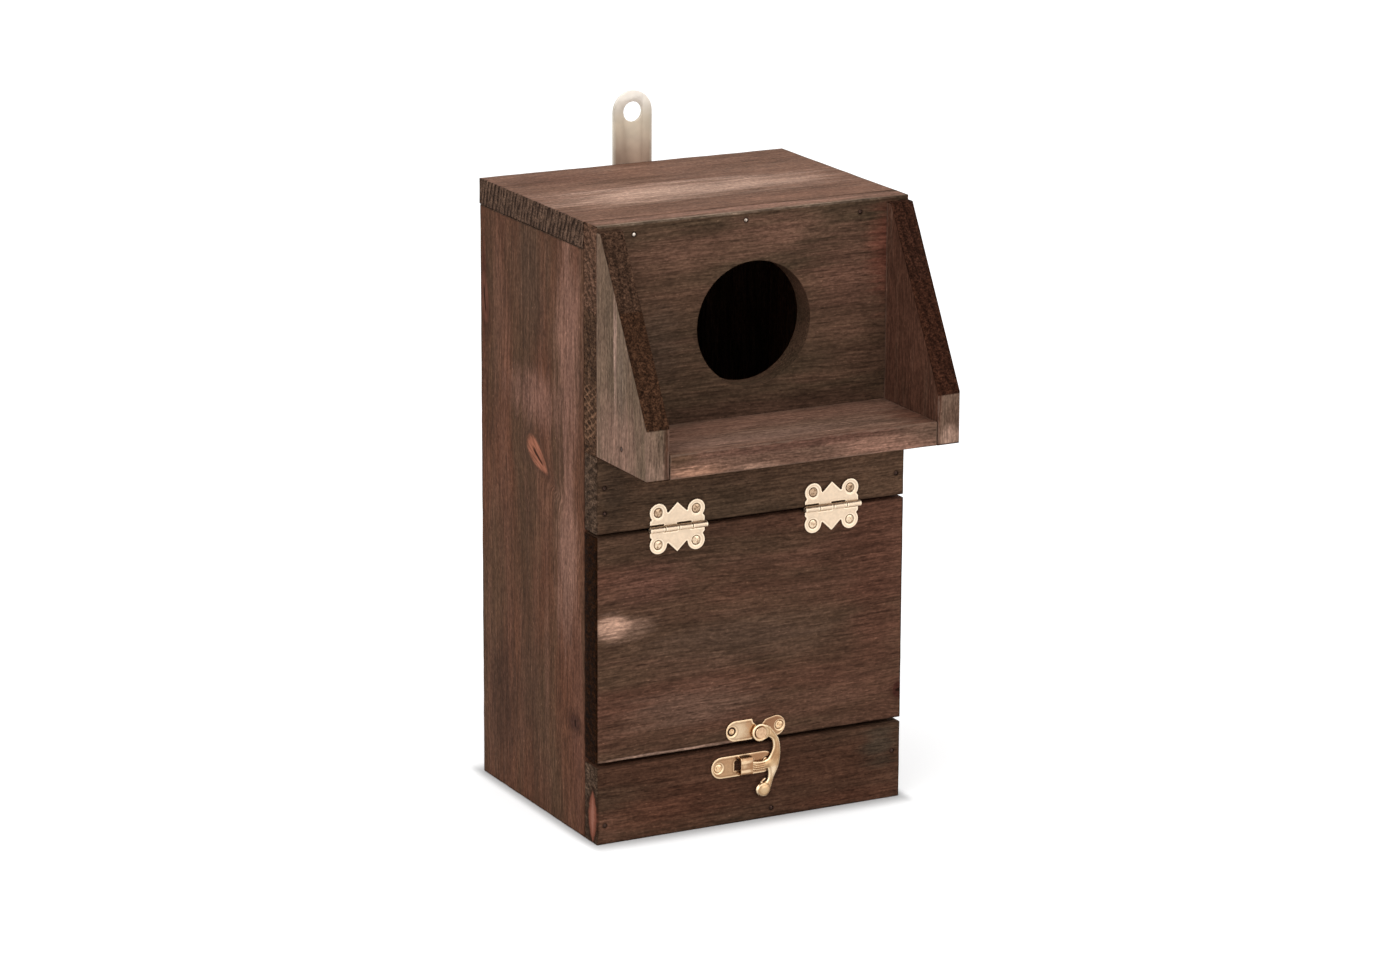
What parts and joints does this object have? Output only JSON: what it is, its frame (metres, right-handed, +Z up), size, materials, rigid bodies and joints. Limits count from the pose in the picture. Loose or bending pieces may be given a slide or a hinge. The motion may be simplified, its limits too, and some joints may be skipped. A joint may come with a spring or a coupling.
{
  "type": "bird nest box",
  "caption": "Upright wooden bird nest box with a round entry hole, a walled balcony, a hinged front clean-out door with a swing-hook latch, and a steel hanging strap.",
  "frame": {"origin": "on the ground under the middle of the whole object's box, from the balcony's nose to the strap's screws at the back", "axes": "+Z up, the front with the door and balcony faces -Y, +X to the right as seen from the front"},
  "size_m": [0.1548, 0.1692, 0.3132],
  "materials": {
    "wood_roof": "satin walnut stain, paler and streaked",
    "wood_side": "matt walnut stain over vertical pine grain",
    "wood_front": "matt reddish walnut stain over horizontal pine grain",
    "wood_rail": "matt dark olive-brown stain over horizontal pine grain",
    "wood_balcony": "matt walnut stain, rubbed pale along its lower edges",
    "wood_inner": "matt walnut stain",
    "hinge_brass": "pale polished brass plating",
    "latch_brass": "antique gold plating, worn bright on the high spots",
    "strap_steel": "zinc-plated steel with a warm tint",
    "nail_steel": "bare wire nail heads"
  },
  "bodies": {
    "box": {"roof_panel": "wood_roof", "left_side_panel": "wood_side", "right_side_panel": "wood_side", "back_panel": "wood_inner", "floor_panel": "wood_inner", "front_panel": "wood_front", "hinge_rail": "wood_rail", "bottom_rail": "wood_rail", "balcony_left_wing": "wood_balcony", "balcony_right_wing": "wood_balcony", "balcony_shelf": "wood_balcony", "hanger_strap": "strap_steel", "hanger_screw_lower": "strap_steel", "hanger_screw_upper": "strap_steel", "left_hinge_upper_leaf": "hinge_brass", "left_hinge_pin": "hinge_brass", "left_hinge_upper_left_screw": "hinge_brass", "left_hinge_upper_right_screw": "hinge_brass", "right_hinge_upper_leaf": "hinge_brass", "right_hinge_pin": "hinge_brass", "right_hinge_upper_left_screw": "hinge_brass", "right_hinge_upper_right_screw": "hinge_brass", "catch_plate": "latch_brass", "catch_plate_left_screw": "latch_brass", "catch_plate_right_screw": "latch_brass", "roof_nail_1": "nail_steel", "roof_nail_2": "nail_steel", "roof_nail_3": "nail_steel", "hinge_rail_nail_1": "nail_steel", "hinge_rail_nail_2": "nail_steel", "hinge_rail_nail_3": "nail_steel", "bottom_rail_nail_1": "nail_steel", "bottom_rail_nail_2": "nail_steel", "floor_nail": "nail_steel", "left_wing_nail": "nail_steel", "right_wing_nail": "nail_steel"},
    "door": {"door_panel": "wood_front", "left_hinge_lower_leaf": "hinge_brass", "left_hinge_lower_left_screw": "hinge_brass", "left_hinge_lower_right_screw": "hinge_brass", "right_hinge_lower_leaf": "hinge_brass", "right_hinge_lower_left_screw": "hinge_brass", "right_hinge_lower_right_screw": "hinge_brass", "latch_plate": "latch_brass", "latch_plate_left_screw": "latch_brass", "latch_plate_right_screw": "latch_brass", "latch_rivet": "latch_brass"},
    "hook": {"latch_hook": "latch_brass"}
  },
  "joints": [
    {"name": "door_hinge", "type": "hinge", "parent": "box", "child": "door", "pos_m": [0, -0.03815, 0.1421], "axis": [-1, 0, 0], "range_deg": [0, 125]},
    {"name": "hook_swing", "type": "hinge", "parent": "door", "child": "hook", "pos_m": [0.0037, -0.0387, 0.0417], "axis": [0, -1, 0], "range_deg": [-12, 100]}
  ]
}
